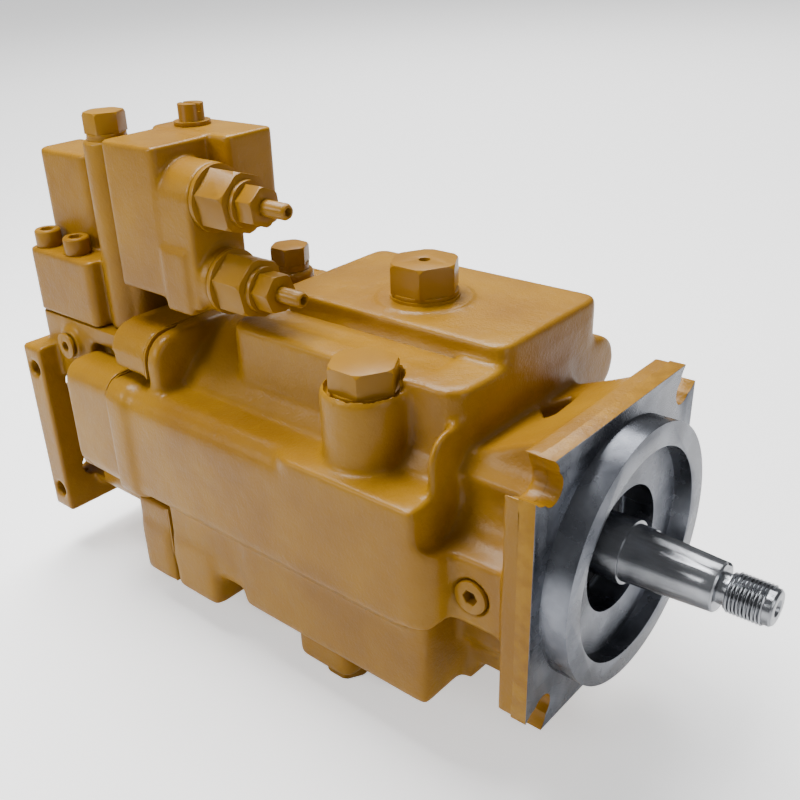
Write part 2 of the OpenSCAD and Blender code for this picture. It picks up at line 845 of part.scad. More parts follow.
module pressure_spool() { spool(upper_x, spool_z1); }
module flow_spool() { spool(lower_x, spool_z2); }
module pressure_cap() { stage_cap(upper_x, spool_z1); }
module flow_cap() { stage_cap(lower_x, spool_z2); }
module pressure_spring_seat() { stage_seat(upper_x, spool_z1); }
module flow_spring_seat() { stage_seat(lower_x, spool_z2); }
module pressure_spring() { stage_spring(upper_x, spool_z1); }
module flow_spring() { stage_spring(lower_x, spool_z2); }
module pressure_screw() { stage_screw(upper_x, spool_z1); }
module flow_screw() { stage_screw(lower_x, spool_z2); }

module adjuster_locknuts() {
  color(paint) {
    nut(upper_x, spool_z1, 8);
    nut(lower_x, spool_z2, 22);
  }
}

module spool_end_plugs() {
  color(paint) for (z = [spool_z1, spool_z2]) rx(valve_x0, valve_x0 + 6, 7, spool_y, z);
}

module valve_gasket() {
  color(dark) pz(foot_z - 1, foot_z) difference() {
    rr(-362, -277, -48, 2, 4);
    for (p = foot_screws) translate(p) circle(r = 9.5);
    translate(column) circle(r = 5);
    translate([column[0], -20]) circle(r = 5);
  }
}

module valve_screws() {
  color(paint) for (p = foot_screws) translate([p[0], p[1], foot_top]) cap_screw(10, 58);
}

module valve_top_plug() {
  color(paint) translate([column[0], column[1], 165.5]) hex_plug(20, 13, 16, 12);
}

module valve_clamp_bolts() {
  color(paint) translate([-258, -10, 169]) difference() {
    union() {
      translate([0, 0, -16]) cylinder(h = 16 + e, r = 4);
      cylinder(h = 2.2, r = 10);
      translate([0, 0, 2]) cylinder(h = 9, r = 7);
    }
    translate([-10, -1, 7]) cube([20, 2, 6]);
  }
}

main_housing();
rear_cover();
cover_gasket();
cover_bolts();
servo_cover();
servo_gasket();
servo_cover_bolts();
bias_cap();
deck_plug();
boss_plug();
neck_plug();
top_rear_plug();
drain_plug();
foot_plug();
plug_seals();
shaft_seal();
seal_ring();
front_bearing_cup();
front_bearing_cone();
front_rollers();
rear_bearing_cup();
rear_rollers();
drive_shaft();
cylinder_barrel();
barrel_spring();
spring_seats();
ball_guide();
retainer_plate();
pistons();
slippers();
port_plate();
port_plate_pin();
swash_plate();
wear_plate();
cradle_bearings();
control_piston();
bias_piston();
bias_spring();
bias_spring_seat();
valve_body();
valve_gasket();
valve_screws();
valve_top_plug();
valve_clamp_bolts();
pressure_spool();
flow_spool();
pressure_cap();
flow_cap();
pressure_spring_seat();
flow_spring_seat();
pressure_spring();
flow_spring();
pressure_screw();
flow_screw();
adjuster_locknuts();
spool_end_plugs();
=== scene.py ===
import json
import math

import bpy
import numpy as np
from mathutils import Matrix, Vector

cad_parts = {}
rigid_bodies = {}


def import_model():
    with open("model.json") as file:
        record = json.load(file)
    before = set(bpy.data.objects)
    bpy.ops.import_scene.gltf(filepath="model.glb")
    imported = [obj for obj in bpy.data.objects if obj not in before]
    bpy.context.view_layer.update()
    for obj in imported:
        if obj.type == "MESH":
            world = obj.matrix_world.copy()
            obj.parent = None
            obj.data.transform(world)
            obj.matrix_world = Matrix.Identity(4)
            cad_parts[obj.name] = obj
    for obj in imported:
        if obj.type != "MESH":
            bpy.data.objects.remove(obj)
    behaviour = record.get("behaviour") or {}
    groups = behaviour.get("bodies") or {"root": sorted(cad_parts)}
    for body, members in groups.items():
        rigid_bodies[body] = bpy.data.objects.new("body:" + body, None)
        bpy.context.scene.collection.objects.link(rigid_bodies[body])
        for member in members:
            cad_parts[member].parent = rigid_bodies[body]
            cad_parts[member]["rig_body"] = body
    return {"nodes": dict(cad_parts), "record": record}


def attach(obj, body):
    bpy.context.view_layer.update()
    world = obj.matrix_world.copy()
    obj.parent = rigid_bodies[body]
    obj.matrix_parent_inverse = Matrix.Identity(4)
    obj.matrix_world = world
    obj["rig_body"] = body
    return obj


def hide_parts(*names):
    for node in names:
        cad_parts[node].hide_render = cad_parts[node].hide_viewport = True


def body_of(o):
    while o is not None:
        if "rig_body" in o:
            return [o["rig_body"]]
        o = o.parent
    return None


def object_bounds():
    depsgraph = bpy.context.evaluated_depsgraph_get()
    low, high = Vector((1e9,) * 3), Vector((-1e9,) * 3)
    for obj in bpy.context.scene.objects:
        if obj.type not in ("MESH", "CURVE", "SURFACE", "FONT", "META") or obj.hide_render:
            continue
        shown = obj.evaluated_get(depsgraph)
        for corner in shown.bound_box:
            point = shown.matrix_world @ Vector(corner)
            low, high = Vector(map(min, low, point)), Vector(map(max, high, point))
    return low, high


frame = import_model()
cadLow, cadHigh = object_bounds()
nodes = frame["nodes"]
slotOf = {s["node"]: s["material_slot"] for s in frame["record"]["subparts"]}
mm = 0.001


cameraView = {
    "place": (0.1664, -0.3490, 0.2608),
    "right": (0.7416, 0.669, -0.049),
    "ahead": (-0.612, 0.644, -0.459),
    "lens": 43.56,
    "shiftX": 0.066,
    "shiftY": 0.0295,
}


def addCamera():
    ahead = Vector(cameraView["ahead"]).normalized()
    right = Vector(cameraView["right"])
    right = (right - right.dot(ahead) * ahead).normalized()
    up = right.cross(ahead)
    bpy.ops.object.camera_add(location=cameraView["place"])
    camera = bpy.context.object
    turn = Matrix((right, up, -ahead)).transposed()
    camera.rotation_euler = turn.to_euler()
    camera.data.sensor_width = 36
    camera.data.lens = cameraView["lens"]
    camera.data.shift_x = cameraView["shiftX"]
    camera.data.shift_y = cameraView["shiftY"]
    bpy.context.scene.camera = camera
    print("camera set")


def addNode(tree, kind, values=None, **settings):
    made = tree.nodes.new(kind)
    for name, value in settings.items():
        setattr(made, name, value)
    for name, value in (values or {}).items():
        made.inputs[name].default_value = value
    return made


def newGroup(name, inputs, outputs):
    group = bpy.data.node_groups.new(name, "ShaderNodeTree")
    for label, kind, value in inputs:
        socket = group.interface.new_socket(name=label, in_out="INPUT", socket_type=kind)
        if value is not None:
            socket.default_value = value
    for label, kind in outputs:
        group.interface.new_socket(name=label, in_out="OUTPUT", socket_type=kind)
    entry = group.nodes.new("NodeGroupInput")
    leave = group.nodes.new("NodeGroupOutput")
    return group, entry, leave


def useGroup(tree, group, values=None):
    made = tree.nodes.new("ShaderNodeGroup")
    made.node_tree = group
    for name, value in (values or {}).items():
        made.inputs[name].default_value = value
    return made


def newMaterial(name):
    material = bpy.data.materials.new(name)
    material.use_nodes = True
    tree = material.node_tree
    return material, tree, tree.nodes["Principled BSDF"]


def makeCastSkin():
    # height of a sand cast surface under paint, and a slow change of tone
    group, entry, leave = newGroup(
        "castSkin",
        [("Fine Scale", "NodeSocketFloat", 900.0), ("Wave Scale", "NodeSocketFloat", 90.0),
         ("Fine Share", "NodeSocketFloat", 0.3)],
        [("Height", "NodeSocketFloat"), ("Tone", "NodeSocketFloat")])
    place = addNode(group, "ShaderNodeTexCoord")
    fine = addNode(group, "ShaderNodeTexNoise", {"Detail": 4.0, "Roughness": 0.6})
    wave = addNode(group, "ShaderNodeTexNoise", {"Detail": 2.0})
    tone = addNode(group, "ShaderNodeTexNoise", {"Scale": 16.0, "Detail": 3.0})
    both = addNode(group, "ShaderNodeMix", data_type="FLOAT")
    link = group.links.new
    for noise in (fine, wave, tone):
        link(place.outputs["Object"], noise.inputs["Vector"])
    link(entry.outputs["Fine Scale"], fine.inputs["Scale"])
    link(entry.outputs["Wave Scale"], wave.inputs["Scale"])
    link(entry.outputs["Fine Share"], both.inputs["Factor"])
    link(wave.outputs["Fac"], both.inputs["A"])
    link(fine.outputs["Fac"], both.inputs["B"])
    link(both.outputs["Result"], leave.inputs["Height"])
    link(tone.outputs["Fac"], leave.inputs["Tone"])
    return group


def makePaintedLightMasks():
    # masks for a painted highlight along outer edges and painted shade in inner corners, both from
    # Pointiness
    group, entry, leave = newGroup(
        "paintedLightMasks",
        [("Edge Start", "NodeSocketFloat", 0.53), ("Corner Start", "NodeSocketFloat", 0.47),
         ("Breakup Scale", "NodeSocketFloat", 140.0)],
        [("Edge", "NodeSocketFloat"), ("Corner", "NodeSocketFloat")])
    shape = addNode(group, "ShaderNodeNewGeometry")
    place = addNode(group, "ShaderNodeTexCoord")
    breakup = addNode(group, "ShaderNodeTexNoise", {"Detail": 5.0})
    edgeEnd = addNode(group, "ShaderNodeMath", {1: 0.08}, operation="ADD")
    edge = addNode(group, "ShaderNodeMapRange")
    cornerEnd = addNode(group, "ShaderNodeMath", {1: 0.09}, operation="SUBTRACT")
    corner = addNode(group, "ShaderNodeMapRange")
    broken = addNode(group, "ShaderNodeMapRange", {"From Min": 0.38, "From Max": 0.62})
    both = addNode(group, "ShaderNodeMath", operation="MULTIPLY")
    link = group.links.new
    link(place.outputs["Object"], breakup.inputs["Vector"])
    link(entry.outputs["Breakup Scale"], breakup.inputs["Scale"])
    link(breakup.outputs["Fac"], broken.inputs["Value"])
    link(shape.outputs["Pointiness"], edge.inputs["Value"])
    link(entry.outputs["Edge Start"], edge.inputs["From Min"])
    link(entry.outputs["Edge Start"], edgeEnd.inputs[0])
    link(edgeEnd.outputs[0], edge.inputs["From Max"])
    link(shape.outputs["Pointiness"], corner.inputs["Value"])
    link(entry.outputs["Corner Start"], corner.inputs["From Min"])
    link(entry.outputs["Corner Start"], cornerEnd.inputs[0])
    link(cornerEnd.outputs[0], corner.inputs["From Max"])
    link(edge.outputs["Result"], both.inputs[0])
    link(broken.outputs["Result"], both.inputs[1])
    link(both.outputs[0], leave.inputs["Edge"])
    link(corner.outputs["Result"], leave.inputs["Corner"])
    return group


def makeTurnedLines():
    # fine tool marks: rings about the shaft axis on faces, bands along it on cylinders
    group, entry, leave = newGroup(
        "turnedLines",
        [("Line Scale", "NodeSocketFloat", 500.0), ("Band Share", "NodeSocketFloat", 0.5)],
        [("Height", "NodeSocketFloat"), ("Tone", "NodeSocketFloat")])
    place = addNode(group, "ShaderNodeTexCoord")
    rings = addNode(group, "ShaderNodeTexWave", {"Distortion": 0.3, "Detail": 2.0, "Detail Scale": 0.6},
                    wave_type="RINGS", rings_direction="X")
    bands = addNode(group, "ShaderNodeTexWave", {"Distortion": 0.2, "Detail": 2.0, "Detail Scale": 0.6},
                    wave_type="BANDS", bands_direction="X")
    tone = addNode(group, "ShaderNodeTexNoise", {"Scale": 60.0, "Detail": 4.0})
    both = addNode(group, "ShaderNodeMix", data_type="FLOAT")
    link = group.links.new
    for texture in (rings, bands, tone):
        link(place.outputs["Object"], texture.inputs["Vector"])
    link(entry.outputs["Line Scale"], rings.inputs["Scale"])
    link(entry.outputs["Line Scale"], bands.inputs["Scale"])
    link(entry.outputs["Band Share"], both.inputs["Factor"])
    link(rings.outputs["Fac"], both.inputs["A"])
    link(bands.outputs["Fac"], both.inputs["B"])
    link(both.outputs["Result"], leave.inputs["Height"])
    link(tone.outputs["Fac"], leave.inputs["Tone"])
    return group


castSkin = makeCastSkin()
paintedLightMasks = makePaintedLightMasks()
turnedLines = makeTurnedLines()


paintLook = {
    "colour": (0.28, 0.136, 0.0040, 1),
    "deepColour": (0.21, 0.094, 0.0030, 1),
    # painted shade colour for inner corners and painted highlight colour for outer edges, mixed into the
    # paint
    "paintedShadeColour": (0.04, 0.015, 0.0015, 1),
    "paintedHighlightColour": (0.36, 0.180, 0.012, 1),
    "smooth": 0.22,
    "rough": 0.44,
    "castBump": 0.55,
    "fittingBump": 0.12,
}


def makePaint(name, bumpStrength, fineScale):
    material, tree, shader = newMaterial(name)
    link = tree.links.new
    skin = useGroup(tree, castSkin, {"Fine Scale": fineScale, "Wave Scale": 110.0, "Fine Share": 0.35})
    # masks for where painted shade and a painted highlight go
    paintedLight = useGroup(tree, paintedLightMasks)
    tone = addNode(tree, "ShaderNodeMapRange", {"From Min": 0.35, "From Max": 0.65})
    base = addNode(tree, "ShaderNodeMix", data_type="RGBA")
    base.inputs["A"].default_value = paintLook["deepColour"]
    base.inputs["B"].default_value = paintLook["colour"]
    # painted shade: inner corners darkened towards a near-black brown
    corner = addNode(tree, "ShaderNodeMix", data_type="RGBA")
    corner.inputs["B"].default_value = paintLook["paintedShadeColour"]
    # painted highlight: outer edges lightened towards a brighter yellow
    edge = addNode(tree, "ShaderNodeMix", data_type="RGBA")
    edge.inputs["B"].default_value = paintLook["paintedHighlightColour"]
    rough = addNode(tree, "ShaderNodeMapRange",
                    {"To Min": paintLook["smooth"], "To Max": paintLook["rough"]})
    bump = addNode(tree, "ShaderNodeBump", {"Strength": bumpStrength, "Distance": 0.0012})
    cornerShare = addNode(tree, "ShaderNodeMath", {1: 0.75}, operation="MULTIPLY")
    edgeShare = addNode(tree, "ShaderNodeMath", {1: 0.5}, operation="MULTIPLY")
    link(skin.outputs["Tone"], tone.inputs["Value"])
    link(tone.outputs["Result"], base.inputs["Factor"])
    link(base.outputs["Result"], corner.inputs["A"])
    link(paintedLight.outputs["Corner"], cornerShare.inputs[0])
    link(cornerShare.outputs[0], corner.inputs["Factor"])
    link(corner.outputs["Result"], edge.inputs["A"])
    link(paintedLight.outputs["Edge"], edgeShare.inputs[0])
    link(edgeShare.outputs[0], edge.inputs["Factor"])
    link(edge.outputs["Result"], shader.inputs["Base Color"])
    link(skin.outputs["Height"], rough.inputs["Value"])
    link(rough.outputs["Result"], shader.inputs["Roughness"])
    link(skin.outputs["Height"], bump.inputs["Height"])
    link(bump.outputs["Normal"], shader.inputs["Normal"])
    shader.inputs["Specular IOR Level"].default_value = 0.2
    shader.inputs["Coat Weight"].default_value = 0.05
    shader.inputs["Coat Roughness"].default_value = 0.2
    return material


def makeMetal(name, dark, light, roughness, lineScale, bandShare, bumpStrength):
    material, tree, shader = newMaterial(name)
    link = tree.links.new
    lines = useGroup(tree, turnedLines, {"Line Scale": lineScale, "Band Share": bandShare})
    tone = addNode(tree, "ShaderNodeMapRange", {"From Min": 0.3, "From Max": 0.7})
    base = addNode(tree, "ShaderNodeMix", data_type="RGBA")
    base.inputs["A"].default_value = (*dark, 1)
    base.inputs["B"].default_value = (*light, 1)
    rough = addNode(tree, "ShaderNodeMapRange", {"To Min": roughness - 0.06, "To Max": roughness + 0.08})
    bump = addNode(tree, "ShaderNodeBump", {"Strength": bumpStrength, "Distance": 0.0002})
    link(lines.outputs["Tone"], tone.inputs["Value"])
    link(tone.outputs["Result"], base.inputs["Factor"])
    link(base.outputs["Result"], shader.inputs["Base Color"])
    link(lines.outputs["Tone"], rough.inputs["Value"])
    link(rough.outputs["Result"], shader.inputs["Roughness"])
    link(lines.outputs["Height"], bump.inputs["Height"])
    link(bump.outputs["Normal"], shader.inputs["Normal"])
    shader.inputs["Metallic"].default_value = 1.0
    return material


def makeSoft(name, dark, light, roughness, grainScale):
    # rubber and gasket sheet
    material, tree, shader = newMaterial(name)
    link = tree.links.new
    skin = useGroup(tree, castSkin, {"Fine Scale": grainScale, "Wave Scale": 300.0, "Fine Share": 0.7})
    base = addNode(tree, "ShaderNodeMix", data_type="RGBA")
    base.inputs["A"].default_value = (*dark, 1)
    base.inputs["B"].default_value = (*light, 1)
    bump = addNode(tree, "ShaderNodeBump", {"Strength": 0.3, "Distance": 0.0003})
    link(skin.outputs["Height"], base.inputs["Factor"])
    link(base.outputs["Result"], shader.inputs["Base Color"])
    link(skin.outputs["Height"], bump.inputs["Height"])
    link(bump.outputs["Normal"], shader.inputs["Normal"])
    shader.inputs["Roughness"].default_value = roughness
    return material


castPaint = makePaint("castPaint", paintLook["castBump"], 700.0)
fittingPaint = makePaint("fittingPaint", paintLook["fittingBump"], 1200.0)
facedSteel = makeMetal("facedSteel", (0.075, 0.08, 0.095), (0.19, 0.20, 0.225), 0.26, 420.0, 0.0, 0.25)
groundSteel = makeMetal("groundSteel", (0.22, 0.225, 0.24), (0.32, 0.33, 0.35), 0.18, 700.0, 1.0, 0.2)
innerSteel = makeMetal("innerSteel", (0.40, 0.41, 0.43), (0.52, 0.53, 0.55), 0.3, 900.0, 0.5, 0.1)
boredIron = makeMetal("boredIron", (0.16, 0.16, 0.17), (0.24, 0.24, 0.25), 0.45, 600.0, 0.5, 0.3)
bearingBronze = makeMetal("bearingBronze", (0.42, 0.26, 0.10), (0.55, 0.36, 0.16), 0.35, 700.0, 0.3, 0.2)
gasketSheet = makeSoft("gasketSheet", (0.035, 0.03, 0.025), (0.06, 0.05, 0.04), 0.85, 2500.0)
sealRubber = makeSoft("sealRubber", (0.012, 0.012, 0.013), (0.022, 0.022, 0.024), 0.55, 1800.0)

finishOf = {
    "yellow_paint": fittingPaint,
    "machined_steel": innerSteel,
    "raw_iron": boredIron,
    "bronze": bearingBronze,
    "gasket": gasketSheet,
    "seal_rubber": sealRubber,
}


def dress(piece, *materials):
    piece.data.materials.clear()
    for material in materials:
        piece.data.materials.append(material)


paintedOver = ["plug_seals", "cover_gasket", "servo_gasket", "valve_gasket"]
for nodeName, cadNode in nodes.items():
    dress(cadNode, fittingPaint if nodeName in paintedOver else finishOf[slotOf[nodeName]])
print("materials made")


def clearSelection():
    if bpy.context.object and bpy.context.object.mode != "OBJECT":
        bpy.ops.object.mode_set(mode="OBJECT")
    bpy.ops.object.select_all(action="DESELECT")


def makeActive(piece):
    clearSelection()
    piece.select_set(True)
    bpy.context.view_layer.objects.active = piece


def pointsOf(piece):
    places = np.zeros(len(piece.data.vertices) * 3)
    piece.data.vertices.foreach_get("co", places)
    return places.reshape(-1, 3)


def mergedCopy(nodeName, pieceName):
    # a welded copy of a CAD node, in the same place
    piece = bpy.data.objects.new(pieceName, nodes[nodeName].data.copy())
    bpy.context.scene.collection.objects.link(piece)
    makeActive(piece)
    bpy.ops.object.mode_set(mode="EDIT")
    bpy.ops.mesh.select_all(action="SELECT")
    bpy.ops.mesh.remove_doubles(threshold=0.00002)
    bpy.ops.object.mode_set(mode="OBJECT")
    if piece.data.has_custom_normals:
        bpy.ops.mesh.customdata_custom_splitnormals_clear()
    return piece


def cutAway(piece, place, normal):
    # keeps what lies behind the plane and closes the cut
    makeActive(piece)
    bpy.ops.object.mode_set(mode="EDIT")
    bpy.ops.mesh.select_all(action="SELECT")
    bpy.ops.mesh.bisect(plane_co=place, plane_no=normal, use_fill=True, clear_outer=True)
    bpy.ops.object.mode_set(mode="OBJECT")


def applyModifier(piece, name, kind, **settings):
    makeActive(piece)
    added = piece.modifiers.new(name, kind)
    for key, value in settings.items():
        setattr(added, key, value)
    bpy.ops.object.modifier_apply(modifier=added.name)


def smoothShade(piece, degrees):
    makeActive(piece)
    bpy.ops.object.shade_smooth_by_angle(angle=math.radians(degrees))


def settle(piece, nodeName):
    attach(piece, body_of(nodes[nodeName])[0])


def rodZone(places, axis, centre, radius, start, end):
    # points within a rod along one axis, in millimetres
    others = [i for i in range(3) if i != axis]
    away = np.hypot(places[:, others[0]] - centre[0], places[:, others[1]] - centre[1])
    along = places[:, axis]
    return (away < radius) & (along > start) & (along < end)


def rodZones(places, rods):
    # rods is a list of (axis, centre, radius, start, end)
    zone = np.zeros(len(places), dtype=bool)
    for axis, centre, radius, start, end in rods:
        zone |= rodZone(places, axis, centre, radius, start, end)
    return zone


def boxZone(places, low, high):
    return np.all((places > np.array(low)) & (places < np.array(high)), axis=1)


def roundCasting(piece, voxel, passes, crispZones, softZones, softPasses, triangles):
    # remeshes a casting, rounds its free edges and keeps the machined zones crisp
    applyModifier(piece, "skin", "REMESH", mode="VOXEL", voxel_size=voxel, use_smooth_shade=True)
    places = pointsOf(piece) / mm
    crisp = crispZones(places)
    soft = softZones(places) & ~crisp
    free = ~crisp & ~soft
    for label, mask, count in (("free", free, passes), ("soft", soft, softPasses)):
        group = piece.vertex_groups.new(name=label)
        group.add(np.nonzero(mask)[0].tolist(), 1.0, "REPLACE")
        applyModifier(piece, "round", "SMOOTH", factor=0.5, iterations=count, vertex_group=label)
    share = triangles / (2.0 * len(piece.data.polygons))
    if share < 1:
        applyModifier(piece, "thin", "DECIMATE", ratio=share)
    piece.vertex_groups.clear()
    smoothShade(piece, 40)


def paintFaces(piece, slotIndex, chosen):
    # chosen gets the face centres in millimetres and the face normals
    centres = np.zeros(len(piece.data.polygons) * 3)
    normals = np.zeros(len(piece.data.polygons) * 3)
    piece.data.polygons.foreach_get("center", centres)
    piece.data.polygons.foreach_get("normal", normals)
    mask = chosen(centres.reshape(-1, 3) / mm, normals.reshape(-1, 3))
    index = np.zeros(len(piece.data.polygons), dtype=np.int32)
    piece.data.polygons.foreach_get("material_index", index)
    index[mask] = slotIndex
    piece.data.polygons.foreach_set("material_index", index)


def machinedFace(nodeName, pieceName, cut, direction):
    # the crisp end of a casting: its edges are chamfered before it is cut off
    piece = mergedCopy(nodeName, pieceName)
    cutAway(piece, ((cut - 6 * direction) * mm, 0, 0), (-direction, 0, 0))
    makeActive(piece)
    bpy.ops.object.mode_set(mode="EDIT")
    bpy.ops.mesh.select_all(action="SELECT")
    bpy.ops.mesh.dissolve_limited(angle_limit=math.radians(0.4))
    bpy.ops.object.mode_set(mode="OBJECT")
    applyModifier(piece, "chamfer", "BEVEL", width=0.0004, segments=2, limit_method="ANGLE",
                  angle_limit=math.radians(35))
    cutAway(piece, (cut * mm, 0, 0), (-direction, 0, 0))
    smoothShade(piece, 30)
    dress(piece, facedSteel, castPaint, boredIron)
    return piece


housing = {
    "voxel": 0.00125,
    "passes": 46,
    "flangePasses": 7,
    "triangles": 190000,
    "castCut": -7.5,       # the casting ends here, inside the machined face piece
    "faceCut": -8.0,       # the face piece reaches back to here
    "crispRods": [
        (0, (0, 0), 58.5, -244, -70),      # barrel chamber
        (0, (0, 0), 45, -60, 10),          # front bearing and seal bores
        (0, (-68, 14), 12, -271, -139),    # control piston bore
        (0, (72, -14), 15, -245, -139),    # bias piston bore
        (2, (-123, 18), 26.2, 70, 95),     # deck plug seat
        (2, (-101, -55), 19.4, 65, 90),    # boss plug seat
        (2, (-229, 27), 11, 50, 90),       # rear plug seat
        (2, (-131, -45), 11, -110, -60),   # drain plug seat
        (1, (-32, -4), 10.6, -90, -30),    # neck plug seat
    ],
    "swashRoom": ((-190, -36, 25), (-74, 62, 80.4)),
    "trunnionRoom": ((-148, -80, -30), (-78, 80, 32)),
    "coverJoint": -241.5,      # the rear is machined behind this
    "servoJoint": -268.5,
    "servoEdge": -50.5,        # the servo housing lies on the near side of this
    "flangeBack": -18,         # in front of this the casting is rounded less
    "chamberWall": (57.5, -244, -70),
    "frontBore": (42, -60, 10),
    "pilotRadius": 64,
}


def housingCrisp(p):
    zone = rodZones(p, housing["crispRods"])
    zone |= (p[:, 0] < housing["coverJoint"]) & (p[:, 1] > housing["servoEdge"])
    zone |= p[:, 0] < housing["servoJoint"]
    zone |= boxZone(p, *housing["swashRoom"])
    zone |= boxZone(p, *housing["trunnionRoom"])
    return zone


def housingSoft(p):
    return p[:, 0] > housing["flangeBack"]


def buildHousing():
    body = mergedCopy("main_housing", "housing_casting")
    roundCasting(body, housing["voxel"], housing["passes"], housingCrisp, housingSoft,
                 housing["flangePasses"], housing["triangles"])
    cutAway(body, (housing["castCut"] * mm, 0, 0), (1, 0, 0))
    smoothShade(body, 40)
    dress(body, castPaint, boredIron, facedSteel)
    paintFaces(body, 1, lambda c, n: rodZone(c, 0, (0, 0), *housing["chamberWall"]))
    paintFaces(body, 2, lambda c, n: rodZone(c, 0, (0, 0), *housing["frontBore"]))
    settle(body, "main_housing")
    face = machinedFace("main_housing", "housing_pilot_face", housing["faceCut"], 1)
    paintFaces(face, 1, lambda c, n: (np.abs(n[:, 0]) < 0.3) & (c[:, 0] < -0.2)
               & (np.hypot(c[:, 1], c[:, 2]) > housing["pilotRadius"]))
    settle(face, "main_housing")
    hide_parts("main_housing")
    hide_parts("main_housing")
    print("housing built", len(body.data.polygons))


rearCover = {
    "voxel": 0.00125,
    "passes": 40,
    "platePasses": 6,
    "triangles": 150000,
    "suction": (0, -22),
    "delivery": (-298, 14),
    "crispRods": [
        (0, (0, -22), 33, -371, -280),       # suction bore
        (0, (0, 0), 42, -300, -243),         # shaft end and bearing
        (1, (-298, 14), 39.5, 86.5, 90),     # delivery face
        (1, (-298, 14), 14, 30, 90),         # delivery bore
        (0, (-53.2, -52.95), 9, -371, -338),   # rear flange bolt holes
        (0, (-53.2, 8.95), 9, -371, -338),
        (0, (53.2, -52.95), 9, -371, -338),
        (0, (53.2, 8.95), 9, -371, -338),
    ],
    "coverJoint": -245.5,
    "rearFace": -368.5,
    "valveSeat": 55.8,
    "plateFront": -349,        # behind this the casting is rounded less
}


def rearCrisp(p):
    zone = rodZones(p, rearCover["crispRods"])
    zone |= p[:, 0] > rearCover["coverJoint"]
    zone |= p[:, 0] < rearCover["rearFace"]
    zone |= p[:, 2] > rearCover["valveSeat"]
    return zone


def rearSoft(p):
    return p[:, 0] < rearCover["plateFront"]


def buildRearCover():
    body = mergedCopy("rear_cover", "rear_casting")
    roundCasting(body, rearCover["voxel"], rearCover["passes"], rearCrisp, rearSoft,
                 rearCover["platePasses"], rearCover["triangles"])
    dress(body, castPaint, boredIron, facedSteel)
    paintFaces(body, 1, lambda c, n: rodZone(c, 0, rearCover["suction"], 32, -369.5, -280)
               | rodZone(c, 0, (0, 0), 42, -300, -243)
               | rodZone(c, 1, rearCover["delivery"], 13.5, 30, 87.5))
    paintFaces(body, 2, lambda c, n: ((c[:, 0] < -369.6) & (n[:, 0] < -0.7))
               | ((c[:, 1] > 87.6) & (n[:, 1] > 0.7)))
    settle(body, "rear_cover")
    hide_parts("rear_cover")
    print("rear cover built", len(body.data.polygons))


servoCover = {"voxel": 0.0008, "passes": 60, "triangles": 40000}


def buildServoCover():
    body = mergedCopy("servo_cover", "servo_cover_casting")
    roundCasting(body, servoCover["voxel"], servoCover["passes"], lambda p: p[:, 0] > -272.5,
                 lambda p: p[:, 0] > 0, 1, servoCover["triangles"])
    dress(body, castPaint)
    settle(body, "servo_cover")
    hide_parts("servo_cover")
    print("servo cover built")


valve = {
    "voxel": 0.0009,
    "passes": 22,
    "triangles": 150000,
    "spoolY": -42,
    "spoolZ": (143, 101),
    "capX": (-207, -201),
    "foot": 59.5,
    "plugRods": [
        (2, (-292, -42), 9, 130, 170),       # top plug hole
        (2, (-292, -42), 12, 162.8, 170),    # top plug seat
    ],
}


def valveCrisp(p):
    zone = p[:, 2] < valve["foot"]
    zone |= rodZones(p, valve["plugRods"])
    for z, x in zip(valve["spoolZ"], valve["capX"]):
        zone |= rodZone(p, 0, (valve["spoolY"], z), 12.6, -285, x + 1)
        zone |= rodZone(p, 0, (valve["spoolY"], z), 14, x - 0.8, x + 1)
    return zone


def buildValve():
    body = mergedCopy("valve_body", "compensator_casting")
    roundCasting(body, valve["voxel"], valve["passes"], valveCrisp, lambda p: p[:, 0] > 0, 1,
                 valve["triangles"])
    dress(body, castPaint)
    settle(body, "valve_body")
    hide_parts("valve_body")
    print("compensator built", len(body.data.polygons))


fittings = {
    "width": 0.0005,
    "segments": 2,
    "angle": 32,
    "painted": ["deck_plug", "boss_plug", "neck_plug", "top_rear_plug", "drain_plug", "foot_plug",
                "valve_top_plug", "valve_clamp_bolts", "valve_screws", "cover_bolts", "servo_cover_bolts",
                "pressure_cap", "flow_cap", "adjuster_locknuts", "pressure_screw", "flow_screw"],
}


def softenFitting(nodeName):
    piece = mergedCopy(nodeName, nodeName + "_painted")
    makeActive(piece)
    bpy.ops.object.mode_set(mode="EDIT")
    bpy.ops.mesh.select_all(action="SELECT")
    bpy.ops.mesh.dissolve_limited(angle_limit=math.radians(0.4))
    bpy.ops.object.mode_set(mode="OBJECT")
    applyModifier(piece, "soften", "BEVEL", width=fittings["width"], segments=fittings["segments"],
                  limit_method="ANGLE", angle_limit=math.radians(fittings["angle"]))
    smoothShade(piece, 40)
    dress(piece, fittingPaint)
    settle(piece, nodeName)
    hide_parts(nodeName)


shaft = {
    "threadStart": 55.4,
    "threadEnd": 73.6,
    "blank": 9.525,        # radius of the plain thread blank
    "root": 8.45,
    "pitch": 1.5875,
    "ridge": 0.6,
    "ridgeLift": 0.42,
    "steps": 36,
}


def buildShaft():
    core = mergedCopy("drive_shaft", "shaft_core")
    places = pointsOf(core) / mm
    radius = np.hypot(places[:, 1], places[:, 2])
    chosen = (places[:, 0] > 54) & (radius > 8.4)
    core.data.vertices.foreach_set("select", chosen)
    makeActive(core)
    bpy.ops.object.mode_set(mode="EDIT")
    bpy.ops.transform.resize(value=(1, shaft["root"] / shaft["blank"], shaft["root"] / shaft["blank"]),
                             center_override=(0, 0, 0))
    bpy.ops.mesh.select_all(action="SELECT")
    bpy.ops.mesh.dissolve_limited(angle_limit=math.radians(0.4))
    bpy.ops.object.mode_set(mode="OBJECT")
    applyModifier(core, "chamfer", "BEVEL", width=0.0003, segments=2, limit_method="ANGLE",
                  angle_limit=math.radians(35))
    smoothShade(core, 30)
    dress(core, groundSteel)
    settle(core, "drive_shaft")
    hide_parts("drive_shaft")
    print("shaft built")


